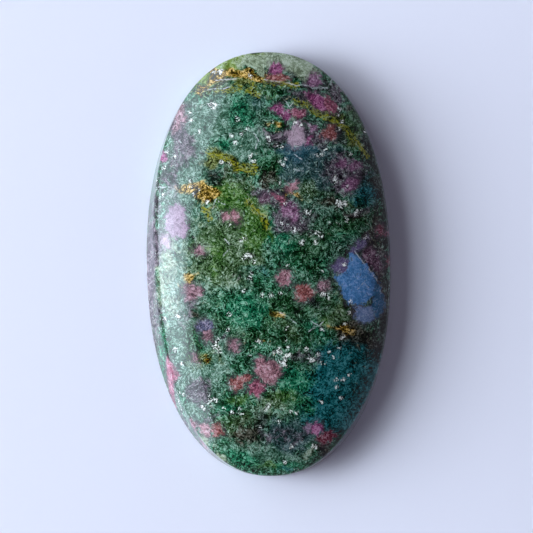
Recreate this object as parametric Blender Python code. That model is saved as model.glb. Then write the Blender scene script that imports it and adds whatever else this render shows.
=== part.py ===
# Oval cabochon of ruby in fuchsite: one stone with a flat ground back, a steep side wall, a
# narrow rounded rim and a low polished dome. Metres, +Z up. It lies on its back with its long
# axis along Y, and the origin is the middle of the back.

import math

import bmesh
import bpy

MM = 0.001

LENGTH = 45.0 * MM  # along Y
WIDTH = 25.9 * MM  # along X
THICKNESS = 6.0 * MM  # back to crown

OUTLINE_FULLNESS = 2.2  # exponent of the oval at the wall: 2 is an ellipse, more is squarer
CROWN_FULLNESS = 2.0  # and of the dome's level lines towards the crown
BACK_BEVEL = 0.3 * MM  # small bevel ground round the back's edge

# The dome is the top of an oval section that is wider than the stone, so it still slopes at
# the rim. Shares are of the outline's radius.
DOME_DEPTH = 4.5 * MM  # crown to the widest level of that section
DOME_REACH = 1.045  # share where that section would stand upright
DOME_FULLNESS = 2.15  # exponent of that section: 2 is an ellipse, more is flatter on top
RIM_SHARE = 0.99  # share where the dome ends and the rounded rim begins

# The hand-ground side wall leans in by a different amount round the stone. Each lean is
# (degrees round the outline from +X, amount at the wall's top, spread in degrees).
LEAN_EVERYWHERE = 0.12 * MM
LEANS = [
    (190.0, 0.75 * MM, 38.0),
    (222.0, 0.55 * MM, 26.0),
    (308.0, 0.42 * MM, 22.0),
]
LEAN_ABOVE_WALL = 0.12  # how much more the lean still grows over the rim, as a share of itself

SEGMENTS = 112  # points round the outline
WALL_RINGS = 3
RIM_RINGS = 4
DOME_RINGS = 15
SHARPEST_SMOOTH = math.radians(35.0)  # edges bent more than this, round the back, stay sharp

STONE_COLOUR = (0.035, 0.12, 0.075, 1.0)  # linear, the mean of the green and the rubies
STONE_ROUGHNESS = 0.12


def clear_scene():
    for obj in list(bpy.data.objects):
        bpy.data.objects.remove(obj, do_unlink=True)


def signed_power(value, exponent):
    return math.copysign(abs(value) ** exponent, value)


def oval_point(turn, fullness):
    """Point of a full-size oval for an angle in radians and an exponent."""
    x = WIDTH / 2.0 * signed_power(math.cos(turn), 2.0 / fullness)
    y = LENGTH / 2.0 * signed_power(math.sin(turn), 2.0 / fullness)
    return x, y


def dome_height(share):
    inside = (share / DOME_REACH) ** DOME_FULLNESS
    return THICKNESS - DOME_DEPTH * (1.0 - (1.0 - inside) ** 0.5)


def dome_slope(share):
    """How steeply the dome falls across the stone's width: 1 is 45 degrees."""
    inside = (share / DOME_REACH) ** DOME_FULLNESS
    fall = DOME_DEPTH * DOME_FULLNESS / 2.0 * inside / (share * (1.0 - inside) ** 0.5)
    return fall / (WIDTH / 2.0)


# The rim is an arc that runs on smoothly from the dome and ends upright at the wall's top
RIM_TURN = math.atan2(1.0, dome_slope(RIM_SHARE))  # radians that it turns through
RIM_RADIUS = (1.0 - RIM_SHARE) * WIDTH / 2.0 / (1.0 - math.cos(RIM_TURN))
WALL_HEIGHT = dome_height(RIM_SHARE) - RIM_RADIUS * math.sin(RIM_TURN)


def wall_lean(turn):
    """How far the wall has come in at its top, in metres."""
    lean = LEAN_EVERYWHERE
    for direction, amount, spread in LEANS:
        away = math.remainder(turn - math.radians(direction), 2.0 * math.pi)
        lean += amount * math.exp(-((away / math.radians(spread)) ** 2))
    return lean


def lean_share(height):
    """How much of the lean is reached at a height: all of it at the wall's top."""
    along_wall = max(0.0, height - BACK_BEVEL) / (WALL_HEIGHT - BACK_BEVEL)
    if along_wall <= 1.0:
        return along_wall
    return 1.0 + LEAN_ABOVE_WALL * (1.0 - math.exp((1.0 - along_wall) / LEAN_ABOVE_WALL))


def section():
    """The stone's section as (share of the outline's radius, height), from back to crown."""
    half_width = WIDTH / 2.0
    points = [(1.0 - BACK_BEVEL / half_width, 0.0)]
    for ring in range(WALL_RINGS + 1):
        height = BACK_BEVEL + (WALL_HEIGHT - BACK_BEVEL) * ring / WALL_RINGS
        points.append((1.0, height))
    for ring in range(1, RIM_RINGS):
        turn = RIM_TURN * ring / RIM_RINGS
        inward = RIM_RADIUS * (1.0 - math.cos(turn))
        points.append((1.0 - inward / half_width, WALL_HEIGHT + RIM_RADIUS * math.sin(turn)))
    for ring in range(DOME_RINGS):
        share = RIM_SHARE * math.cos(0.5 * math.pi * ring / DOME_RINGS)
        points.append((share, dome_height(share)))
    return points


def ring_vertices(mesh, share, height):
    """One ring of the stone, narrowed by the lean above the bevel."""
    fullness = CROWN_FULLNESS + (OUTLINE_FULLNESS - CROWN_FULLNESS) * share
    ring = []
    for index in range(SEGMENTS):
        turn = 2.0 * math.pi * index / SEGMENTS
        x, y = oval_point(turn, fullness)
        narrowed = share * (1.0 - wall_lean(turn) * lean_share(height) / math.hypot(x, y))
        ring.append(mesh.verts.new((x * narrowed, y * narrowed, height)))
    return ring


def bridge(mesh, lower, upper):
    for index in range(SEGMENTS):
        following = (index + 1) % SEGMENTS
        mesh.faces.new((lower[index], lower[following], upper[following], upper[index]))


def make_cabochon():
    mesh = bmesh.new()
    rings = [ring_vertices(mesh, share, height) for share, height in section()]
    mesh.faces.new(list(reversed(rings[0])))
    for lower, upper in zip(rings, rings[1:]):
        bridge(mesh, lower, upper)
    crown = mesh.verts.new((0.0, 0.0, THICKNESS))
    last = rings[-1]
    for index in range(SEGMENTS):
        mesh.faces.new((last[index], last[(index + 1) % SEGMENTS], crown))

    data = bpy.data.meshes.new("cabochon")
    mesh.to_mesh(data)
    mesh.free()
    data.shade_smooth()
    data.set_sharp_from_angle(angle=SHARPEST_SMOOTH)

    stone = bpy.data.objects.new("cabochon", data)
    bpy.context.collection.objects.link(stone)
    return stone


def make_stone_material():
    material = bpy.data.materials.new("polished ruby in fuchsite")
    material.use_nodes = True
    shader = material.node_tree.nodes["Principled BSDF"]
    shader.inputs["Base Color"].default_value = STONE_COLOUR
    shader.inputs["Roughness"].default_value = STONE_ROUGHNESS
    shader.inputs["Metallic"].default_value = 0.0
    return material


clear_scene()
cabochon = make_cabochon()
cabochon.data.materials.append(make_stone_material())
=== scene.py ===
# Looks for an oval cabochon of ruby in fuchsite: the polished stone, its crystals and the
# light it lies in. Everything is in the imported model's own frame, in metres, +Z up.

import math

import bpy
import numpy as np
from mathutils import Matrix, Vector, noise


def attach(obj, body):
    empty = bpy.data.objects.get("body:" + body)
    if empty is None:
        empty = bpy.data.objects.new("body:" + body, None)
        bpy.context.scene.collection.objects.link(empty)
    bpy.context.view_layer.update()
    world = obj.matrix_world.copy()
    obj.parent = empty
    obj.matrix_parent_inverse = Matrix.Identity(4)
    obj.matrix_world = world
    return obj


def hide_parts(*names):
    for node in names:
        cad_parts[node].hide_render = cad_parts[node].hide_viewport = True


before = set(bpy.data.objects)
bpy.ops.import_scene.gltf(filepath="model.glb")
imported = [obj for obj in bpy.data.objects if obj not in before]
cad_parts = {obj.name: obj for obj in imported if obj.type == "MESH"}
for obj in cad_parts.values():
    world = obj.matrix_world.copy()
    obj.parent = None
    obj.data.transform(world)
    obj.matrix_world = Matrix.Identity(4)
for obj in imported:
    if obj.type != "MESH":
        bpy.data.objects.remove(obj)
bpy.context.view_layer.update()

mm = 0.001


def hexColour(text):
    # sRGB hex to the linear RGBA that Blender's sockets take
    channels = [int(text[i:i + 2], 16) / 255.0 for i in (1, 3, 5)]
    linear = [c / 12.92 if c <= 0.04045 else ((c + 0.055) / 1.055) ** 2.4 for c in channels]
    return (*linear, 1.0)


def addNode(tree, kind, settings=None, inputs=None, ramp=None):
    # One node with its settings. An input is a value, an output to link, or a node whose
    # first output is linked.
    made = tree.nodes.new(kind)
    for name, value in (settings or {}).items():
        setattr(made, name, value)
    for name, value in (inputs or {}).items():
        if isinstance(value, bpy.types.Node):
            value = value.outputs[0]
        if isinstance(value, bpy.types.NodeSocket):
            tree.links.new(value, made.inputs[name])
        else:
            made.inputs[name].default_value = value
    if ramp:
        stops = made.color_ramp.elements
        while len(stops) < len(ramp):
            stops.new(1.0)
        for stop, (position, colour) in zip(stops, ramp):
            stop.position = position
            stop.color = colour
    return made


# The stone's shape, in mm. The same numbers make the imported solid.
stone = {
    "length": 45.0,
    "width": 25.9,
    "thickness": 6.0,
    "backBevel": 0.3,
    "outlineFullness": 2.2,
    "crownFullness": 2.0,
    "domeDepth": 4.5,  # the dome is the top of an oval section this deep to its widest level
    "domeReach": 1.045,  # and this wide, as a share of the outline's radius
    "domeFullness": 2.15,
    "rimShare": 0.99,  # where the dome ends and the rounded rim begins
    "leanEverywhere": 0.12,
    "leans": [(190.0, 0.75, 38.0), (222.0, 0.55, 26.0), (308.0, 0.42, 22.0)],
    "leanAboveWall": 0.12,
    "cellsAcross": 200,  # of the dome's mesh: cells of about 0.14 mm
    "cellsAlong": 344,
    "wallRings": 14,
    "rimRings": 6,
    "backStep": 4,  # the back's cells are this many times larger
    "backGap": 0.03,  # between them and the bevel, as a share of the outline's radius
    "sectionSteps": 1500,  # for spacing the dome's cells evenly
    "sharpest": 35.0,  # degrees: edges bent more than this, round the back, stay sharp
    "polishWaves": 0.006,  # how far hand polishing leaves the dome uneven
    "waveLength": 5.0,
    "undercut": 0.004,  # the soft mica matrix wears lower than the hard crystals
    "undercutReach": 0.25,  # mm from a crystal's outline to where that step ends
    "dip": (0.2, 1.5),  # mm that the layers go across for each mm down
    "wallFade": 0.3,  # mm below the rim over which the wall turns to its own grey
    "wallGrey": (0.5, 2.2),  # how much of that grey on the left and on the right
}


def signedPower(value, exponent):
    return np.sign(value) * np.abs(value) ** exponent


def wallLean(turn):
    lean = np.full_like(turn, stone["leanEverywhere"])
    for direction, amount, spread in stone["leans"]:
        away = np.remainder(turn - math.radians(direction) + math.pi, 2.0 * math.pi) - math.pi
        lean += amount * np.exp(-((away / math.radians(spread)) ** 2))
    return lean


def domeHeight(share):
    inside = (share / stone["domeReach"]) ** stone["domeFullness"]
    return stone["thickness"] - stone["domeDepth"] * (1.0 - np.sqrt(1.0 - inside))


def domeSlope(share):
    inside = (share / stone["domeReach"]) ** stone["domeFullness"]
    fall = stone["domeDepth"] * stone["domeFullness"] / 2.0 * inside
    fall /= share * np.sqrt(1.0 - inside)
    return fall / (stone["width"] / 2.0)


# The rim is an arc from the dome's slope to the upright wall
rimTurn = math.atan2(1.0, domeSlope(stone["rimShare"]))
rimRadius = (1.0 - stone["rimShare"]) * stone["width"] / 2.0 / (1.0 - math.cos(rimTurn))
wallHeight = float(domeHeight(stone["rimShare"])) - rimRadius * math.sin(rimTurn)


def leanShare(height):
    bevel = stone["backBevel"]
    alongWall = np.maximum(0.0, height - bevel) / (wallHeight - bevel)
    above = stone["leanAboveWall"]
    onDome = 1.0 + above * (1.0 - np.exp(np.minimum(0.0, 1.0 - alongWall) / above))
    return np.where(alongWall <= 1.0, alongWall, onDome)


def ringPoints(share, turn, height):
    # Points of the stone's skin: share of the outline's radius, angle and height
    fullness = stone["crownFullness"] + (stone["outlineFullness"] - stone["crownFullness"]) * share
    x = stone["width"] / 2.0 * signedPower(np.cos(turn), 2.0 / fullness)
    y = stone["length"] / 2.0 * signedPower(np.sin(turn), 2.0 / fullness)
    narrowed = share * (1.0 - wallLean(turn) * leanShare(height) / np.hypot(x, y))
    return np.stack([x * narrowed, y * narrowed, height], axis=-1)


def discGrid(cellsAcross, cellsAlong):
    # A square grid bent to a disc: radius 0 to 1 and angle of each point
    u, v = np.meshgrid(np.linspace(-1, 1, cellsAcross + 1), np.linspace(-1, 1, cellsAlong + 1))
    x = u * np.sqrt(1.0 - v * v / 2.0)
    y = v * np.sqrt(1.0 - u * u / 2.0)
    return np.hypot(x, y), np.arctan2(y, x)


def evenShares():
    # Table from length along the dome's section to share of the radius, for even cells
    share = np.linspace(0.0, stone["rimShare"], stone["sectionSteps"])
    out = share * stone["width"] / 2.0
    up = domeHeight(share)
    length = np.concatenate([[0.0], np.cumsum(np.hypot(np.diff(out), np.diff(up)))])
    return length / length[-1], share


def gridFaces(cellsAcross, cellsAlong, first):
    row = cellsAcross + 1
    corner = first + np.add.outer(np.arange(cellsAlong) * row, np.arange(cellsAcross)).ravel()
    return np.stack([corner, corner + 1, corner + row + 1, corner + row], axis=-1)


def gridEdge(cellsAcross, cellsAlong, step=1):
    # Indices of the grid's outer points, counterclockwise
    row = cellsAcross + 1
    bottom = np.arange(0, cellsAcross, step)
    right = np.arange(0, cellsAlong, step) * row + cellsAcross
    top = cellsAlong * row + np.arange(cellsAcross, 0, -step)
    left = np.arange(cellsAlong, 0, -step) * row
    return np.concatenate([bottom, right, top, left])


def buildStoneMesh():
    across, along, step = stone["cellsAcross"], stone["cellsAlong"], stone["backStep"]
    radius, turn = discGrid(across, along)
    share = np.interp(radius, *evenShares())
    dome = ringPoints(share, turn, domeHeight(share)).reshape(-1, 3)
    edge = gridEdge(across, along)
    edgeTurn = turn.ravel()[edge]
    points = [dome]
    faces = list(map(tuple, gridFaces(across, along, 0)))
    count = len(dome)
    upper = edge

    # The rim turns over, the wall goes down, and the last ring turns the small bevel in
    bevelShare = 1.0 - stone["backBevel"] / (stone["width"] / 2.0)
    middleShare = 0.5 * (1.0 + bevelShare)
    rings = []
    for rimPart in np.linspace(rimTurn, 0.0, stone["rimRings"] + 1)[1:]:
        inward = rimRadius * (1.0 - math.cos(rimPart))
        height = wallHeight + rimRadius * math.sin(rimPart)
        rings.append((1.0 - inward / (stone["width"] / 2.0), height))
    heights = np.linspace(wallHeight, stone["backBevel"], stone["wallRings"] + 1)[1:]
    rings += [(1.0, height) for height in heights]
    rings += [(middleShare, stone["backBevel"] / 2.0), (bevelShare, 0.0)]
    for ringShare, height in rings:
        even = np.ones_like(edgeTurn)
        ring = ringPoints(ringShare * even, edgeTurn, height * even)
        lower = count + np.arange(len(ring))
        following = np.roll(np.arange(len(ring)), -1)
        faces += map(tuple, np.stack([lower, lower[following], upper[following], upper], axis=-1))
        points.append(ring)
        count += len(ring)
        upper = lower

    # The flat ground back: a coarser grid, joined to the bevel by one ring of wider faces
    backRadius, backTurn = discGrid(across // step, along // step)
    backShare = backRadius * (bevelShare - stone["backGap"])
    back = ringPoints(backShare, backTurn, np.zeros_like(backShare)).reshape(-1, 3)
    points.append(back)
    backFaces = gridFaces(across // step, along // step, count)
    faces += map(tuple, backFaces[:, ::-1])
    inner = count + gridEdge(across // step, along // step)
    for i in range(len(inner)):
        j = (i + 1) % len(inner)
        outer = [upper[(i * step + k) % len(upper)] for k in range(step + 1)]
        faces.append((*outer[::-1], inner[i], inner[j]))

    mesh = bpy.data.meshes.new("cabochonStone")
    faces = [tuple(map(int, face)) for face in faces]
    mesh.from_pydata((np.concatenate(points) * mm).tolist(), [], faces)
    mesh.shade_smooth()
    mesh.set_sharp_from_angle(angle=math.radians(stone["sharpest"]))
    return mesh


# Where the crystals lie, in mm from the stone's middle: each is a tone and the corners of its
# outline on the dome, seen from above.
crystalTones = {
    "darkRed": "#6E2236",
    "smoky": "#573A4F",
    "plum": "#7E5476",
    "magenta": "#92497A",
    "rose": "#944F68",
    "coral": "#8A4C4A",
    "pink": "#9C6E7A",
    "dusty": "#8E6B77",
    "pale": "#98809B",
    "blush": "#AA96A8",
    "mauve": "#645A84",
    "violet": "#4E506E",
    "lavender": "#6680AA",
    "steelBlue": "#4D89C5",
    "deepBlue": "#24658F",
}
crystals = [
    # Top edge
    ("magenta", [(0.4, 20.2), (0.6, 20.9), (1.3, 21.1), (1.8, 20.6), (1.7, 20.0), (1.0, 19.8)]),
    ("coral", [(0.1, 19.3), (0.3, 19.9), (1.0, 20.0), (1.9, 19.9), (2.7, 19.6), (2.5, 19.2),
        (1.2, 19.2)]),
    ("plum", [(4.3, 18.8), (4.6, 19.5), (5.2, 20.0), (5.8, 19.6), (5.9, 18.9), (5.4, 18.6)]),
    # The long crystals under the top fracture
    ("magenta", [(4.2, 18.1), (5.2, 18.0), (5.9, 17.5), (6.3, 17.0), (6.4, 16.0), (5.6, 16.0),
        (4.9, 16.5), (4.5, 17.3)]),
    ("rose", [(6.1, 17.5), (6.9, 17.0), (7.6, 16.3), (7.5, 15.8), (6.9, 15.8), (6.2, 16.0)]),
    ("magenta", [(0.3, 16.3), (0.8, 16.7), (1.5, 16.6), (2.0, 16.0), (2.6, 15.7), (2.6, 15.1),
        (2.1, 15.0), (1.5, 15.5), (0.8, 16.0)]),
    ("rose", [(2.5, 15.9), (2.9, 16.3), (3.8, 16.1), (4.1, 15.6), (3.8, 15.1), (3.1, 15.2)]),
    ("blush", [(2.9, 14.9), (3.7, 14.8), (3.9, 13.5), (4.1, 12.7), (3.4, 12.2), (2.7, 12.3),
        (2.2, 12.9), (2.1, 13.7), (2.6, 14.1)]),
    ("magenta", [(4.1, 12.5), (4.2, 13.3), (4.7, 13.2), (4.7, 12.6)]),
    ("plum", [(4.4, 14.6), (5.2, 14.4), (5.2, 13.7), (4.6, 13.6)]),
    ("coral", [(5.7, 13.3), (6.1, 13.9), (6.4, 14.4), (7.1, 14.4), (7.4, 13.7), (7.0, 13.0),
        (6.2, 13.0)]),
    ("plum", [(7.2, 10.2), (7.5, 10.7), (8.2, 10.8), (8.3, 10.1), (7.8, 9.8)]),
    ("plum", [(8.5, 10.2), (9.2, 10.7), (10.0, 10.4), (9.8, 9.7), (8.8, 9.6)]),
    ("plum", [(7.9, 8.1), (8.6, 8.9), (9.6, 8.9), (9.5, 8.1), (8.8, 7.5), (8.1, 7.4)]),
    ("pink", [(2.0, 8.0), (2.5, 8.5), (3.1, 8.6), (3.1, 7.9), (2.6, 7.5), (2.1, 7.6)]),
    # The slanting one in the middle and the dark one beside it
    ("rose", [(0.6, 7.4), (1.2, 7.3), (1.9, 6.7), (2.0, 6.1), (1.5, 6.0), (1.0, 6.7)]),
    ("plum", [(1.6, 6.4), (2.5, 6.5), (3.1, 6.0), (3.3, 5.3), (3.0, 4.4), (2.6, 4.2), (2.3, 4.8),
        (1.9, 5.2), (1.4, 5.6)]),
    ("smoky", [(-0.9, 6.9), (-0.2, 7.4), (0.4, 7.0), (0.2, 6.4), (-0.6, 6.2)]),
    # Left side, under the window's reflection
    ("pale", [(-10.3, 6.0), (-9.6, 6.5), (-8.9, 6.0), (-8.5, 5.0), (-8.35, 4.0), (-8.8, 3.0),
        (-9.5, 2.8), (-10.2, 3.1), (-10.7, 4.0), (-10.7, 5.2)]),
    ("blush", [(-11.3, 3.3), (-10.5, 3.3), (-10.2, 2.7), (-10.3, 2.0), (-10.8, 1.8), (-11.4, 2.2)]),
    ("dusty", [(-9.0, -2.0), (-8.0, -1.9), (-7.3, -2.1), (-6.95, -2.6), (-7.2, -3.2), (-8.0, -3.5),
        (-8.8, -3.6), (-9.0, -3.0)]),
    ("dusty", [(-7.9, 1.6), (-7.3, 1.9), (-6.6, 1.8), (-6.6, 1.3), (-7.3, 1.2)]),
    ("pink", [(-4.8, 5.0), (-4.6, 5.5), (-4.1, 5.5), (-3.95, 5.0), (-4.2, 4.7), (-4.6, 4.7)]),
    ("pink", [(-3.9, 5.4), (-3.4, 5.7), (-2.95, 5.3), (-2.75, 4.8), (-3.1, 4.3), (-3.6, 4.4),
        (-3.8, 4.8)]),
    ("magenta", [(-11.3, 11.2), (-11.0, 12.0), (-10.5, 12.0), (-10.5, 11.3), (-10.9, 10.9)]),
    ("dusty", [(-9.9, 14.0), (-9.4, 15.9), (-8.9, 17.1), (-8.5, 17.0), (-8.7, 15.8), (-9.1, 14.4)]),
    ("dusty", [(-8.9, 15.1), (-8.8, 15.8), (-8.4, 15.8), (-8.3, 15.1), (-8.7, 14.9)]),
    ("violet", [(-7.7, -6.4), (-7.4, -5.8), (-6.6, -5.6), (-6.1, -5.9), (-6.1, -6.6), (-6.9, -6.9),
        (-7.6, -6.9)]),
    ("dusty", [(-7.0, -6.8), (-6.2, -6.6), (-5.95, -7.2), (-6.0, -7.9), (-6.6, -8.1),
        (-7.0, -7.6)]),
    ("dusty", [(-4.2, -7.9), (-3.7, -7.8), (-3.3, -8.5), (-3.4, -9.2), (-3.9, -9.2), (-4.2, -8.6)]),
    ("dusty", [(-8.2, -9.3), (-7.7, -9.3), (-7.6, -10.1), (-8.1, -10.0)]),
    ("rose", [(-11.6, -9.6), (-10.9, -9.5), (-10.4, -10.2), (-9.95, -11.0), (-9.7, -11.9),
        (-10.4, -12.4), (-11.0, -11.7), (-11.4, -10.6)]),
    # The cluster low in the middle
    ("pink", [(-1.6, -9.9), (-1.1, -9.6), (-0.4, -10.2), (0.2, -9.9), (0.7, -10.6), (1.1, -11.3),
        (0.7, -12.2), (0.1, -12.6), (-0.8, -12.2), (-1.5, -11.3), (-1.7, -10.6)]),
    ("coral", [(-4.3, -11.9), (-3.7, -11.7), (-3.2, -11.8), (-2.5, -11.4), (-1.9, -11.6),
        (-2.1, -12.2), (-2.8, -12.4), (-3.1, -13.0), (-3.8, -13.2), (-4.3, -12.8)]),
    ("rose", [(-2.2, -12.6), (-1.7, -12.3), (-0.9, -12.3), (-0.5, -12.8), (-0.9, -13.5),
        (-1.5, -13.8), (-2.2, -13.3)]),
    # Three near the middle
    ("pink", [(0.7, -1.5), (0.9, -0.8), (1.5, -0.6), (2.1, -1.0), (2.3, -1.7), (1.9, -2.4),
        (1.3, -2.3)]),
    ("coral", [(2.8, -2.4), (3.4, -2.2), (4.1, -2.3), (4.8, -2.9), (4.4, -3.4), (3.7, -3.9),
        (3.0, -3.7), (2.8, -3.0)]),
    ("dusty", [(5.1, -2.2), (5.6, -1.9), (6.1, -2.1), (6.2, -2.7), (5.6, -2.9), (5.1, -2.8)]),
    # Low on the left and on the right
    ("dusty", [(-9.1, -16.3), (-8.4, -16.2), (-7.8, -16.7), (-8.0, -17.2), (-8.5, -17.4)]),
    ("pink", [(-7.6, -16.8), (-7.0, -16.6), (-6.4, -17.1), (-6.4, -17.9), (-7.0, -17.9),
        (-7.5, -17.5)]),
    ("coral", [(-6.2, -16.8), (-5.6, -16.6), (-5.2, -17.2), (-5.2, -17.9), (-6.1, -17.9)]),
    ("pale", [(3.4, -17.2), (3.7, -16.8), (4.2, -16.9), (4.2, -17.6), (3.8, -17.6)]),
    ("magenta", [(4.1, -16.9), (4.6, -16.6), (5.3, -16.9), (5.4, -17.5), (5.0, -18.0),
        (4.4, -17.9)]),
    ("darkRed", [(4.6, -18.4), (5.2, -17.8), (5.9, -17.6), (6.6, -17.9), (6.8, -18.3), (6.2, -18.9),
        (5.3, -19.0)]),
    # Right edge
    ("darkRed", [(11.3, 3.4), (11.7, 4.0), (12.2, 3.6), (12.1, 3.0), (11.6, 2.9)]),
    ("rose", [(12.4, 3.4), (12.8, 3.4), (12.95, 2.8), (12.4, 2.8)]),
    ("darkRed", [(12.4, 0.4), (12.8, 0.5), (12.95, -0.3), (12.4, -0.4)]),
    # The big blue crystal on the right, whose parts differ in shade
    ("mauve", [(6.5, -0.4), (7.2, 0.3), (7.9, 0.8), (8.4, 0.2), (8.0, -0.9), (7.2, -1.3)]),
    ("mauve", [(8.4, 1.2), (9.4, 2.0), (10.5, 2.7), (10.7, 2.5), (9.8, 1.6), (9.0, 0.9)]),
    ("steelBlue", [(8.7, 1.3), (9.9, -0.1), (10.9, -1.2), (11.2, -2.4), (10.9, -3.4), (9.6, -4.5),
        (8.2, -4.3), (7.7, -3.0), (6.9, -1.3), (8.0, -0.9), (8.4, 0.2)]),
    ("deepBlue", [(10.9, -1.2), (11.5, -2.0), (12.0, -3.2), (12.1, -4.2), (11.9, -5.1),
        (11.2, -5.8), (10.7, -5.0), (10.9, -3.4), (11.2, -2.4)]),
    ("lavender", [(9.2, -4.6), (10.8, -4.6), (11.1, -5.7), (10.8, -6.2), (9.9, -6.4), (9.3, -6.1),
        (9.0, -5.4)]),
    ("smoky", [(10.1, 1.5), (10.8, 1.7), (11.5, 0.8), (11.9, -0.6), (11.6, -1.3), (10.9, -0.8),
        (10.3, -0.1), (9.8, 0.7)]),
]
backCrystals = [
    ("pink", [(-6.0, 9.0), (-4.6, 9.6), (-3.4, 8.2), (-4.0, 6.4), (-5.8, 6.8)]),
    ("rose", [(3.2, 12.8), (4.6, 13.4), (5.4, 12.0), (4.4, 10.8), (3.2, 11.4)]),
    ("magenta", [(1.0, 1.2), (2.6, 1.8), (3.2, 0.2), (1.8, -1.0), (0.6, -0.2)]),
    ("dusty", [(-7.4, -4.2), (-6.0, -3.6), (-5.0, -5.0), (-6.2, -6.4), (-7.6, -5.6)]),
    ("coral", [(4.8, -8.0), (6.2, -7.6), (6.8, -9.2), (5.6, -10.2), (4.4, -9.4)]),
    ("pink", [(-2.4, -13.0), (-1.0, -12.6), (-0.4, -14.4), (-1.8, -15.2), (-3.0, -14.2)]),
    ("plum", [(0.2, 17.4), (1.4, 17.8), (1.8, 16.6), (0.8, 15.8)]),
    ("magenta", [(-4.8, 0.6), (-4.0, 1.0), (-3.4, 0.0), (-4.4, -0.6)]),
]
calmTones = ("pale", "blush", "mauve", "lavender", "steelBlue", "deepBlue")  # clearer, less flawed
crystalDepth = 3.2  # how far a crystal reaches down into the stone, in mm
backDepth = 1.2
farAway = 9.0  # mm, where a distance no longer matters
# How far outlines and zones stray from the shapes listed here, as (size, amount) in mm
crystalStray = [(0.8, 0.16), (0.35, 0.08)]
zoneStray = [(2.2, 0.7), (0.9, 0.45), (0.4, 0.2)]
straySeeds = (10, 20)  # of the first size, for x and for y


def smoothNoise(x, y, size, seed):
    # A smooth random field from -1 to 1 with features of this size in mm
    count = 64
    grid = np.random.default_rng(seed).uniform(-1.0, 1.0, (count, count))
    u, v = x / size, y / size
    i, j = np.floor(u).astype(int), np.floor(v).astype(int)
    s, t = u - i, v - j
    s, t = s * s * (3.0 - 2.0 * s), t * t * (3.0 - 2.0 * t)
    i, j = i % (count - 1), j % (count - 1)
    low = grid[i, j] * (1.0 - s) + grid[i + 1, j] * s
    high = grid[i, j + 1] * (1.0 - s) + grid[i + 1, j + 1] * s
    return low * (1.0 - t) + high * t


def polygonDistance(x, y, corners):
    # Distance to an outline in mm, less than 0 inside it
    nearest = np.full(x.shape, np.inf)
    winding = np.zeros(x.shape, int)
    for (x0, y0), (x1, y1) in zip(corners, corners[1:] + corners[:1]):
        edgeX, edgeY = x1 - x0, y1 - y0
        along = ((x - x0) * edgeX + (y - y0) * edgeY) / (edgeX**2 + edgeY**2)
        along = along.clip(0.0, 1.0)
        nearest = np.minimum(nearest, np.hypot(x - x0 - along * edgeX, y - y0 - along * edgeY))
        side = edgeX * (y - y0) - edgeY * (x - x0)
        winding += ((y0 <= y) & (y1 > y) & (side > 0)).astype(int)
        winding -= ((y1 <= y) & (y0 > y) & (side < 0)).astype(int)
    return np.where(winding != 0, -nearest, nearest)


def strayed(x, y, steps):
    seedX, seedY = straySeeds
    for number, (size, amount) in enumerate(steps):
        x = x + amount * smoothNoise(x, y, size, seedX + number)
        y = y + amount * smoothNoise(y, x, size, seedY + number)
    return x, y


def heightAt(x, y):
    # The dome's height over a place, near enough to say how deep a crystal there goes
    share = min(1.0, math.hypot(x / (stone["width"] / 2.0), y / (stone["length"] / 2.0)))
    return float(domeHeight(share))


def crystalFields(x, y, z):
    # For each point of the skin: distance to the nearest crystal, its tone and whether it's calm
    distance = np.full(x.shape, farAway)
    calm = np.zeros_like(distance)
    tone = np.tile(np.array(hexColour(crystalTones["pink"])), (len(x), 1))
    for group, fromBack in ((crystals, False), (backCrystals, True)):
        for name, corners in group:
            found = polygonDistance(x, y, corners)
            if fromBack:
                found = np.maximum(found, z - backDepth)
            else:
                middle = np.mean(corners, axis=0)
                found = np.maximum(found, heightAt(*middle) - crystalDepth - z)
            closer = found < distance
            distance[closer] = found[closer]
            tone[closer] = hexColour(crystalTones[name])
            calm[closer] = name in calmTones
    return distance, tone, calm


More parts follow.
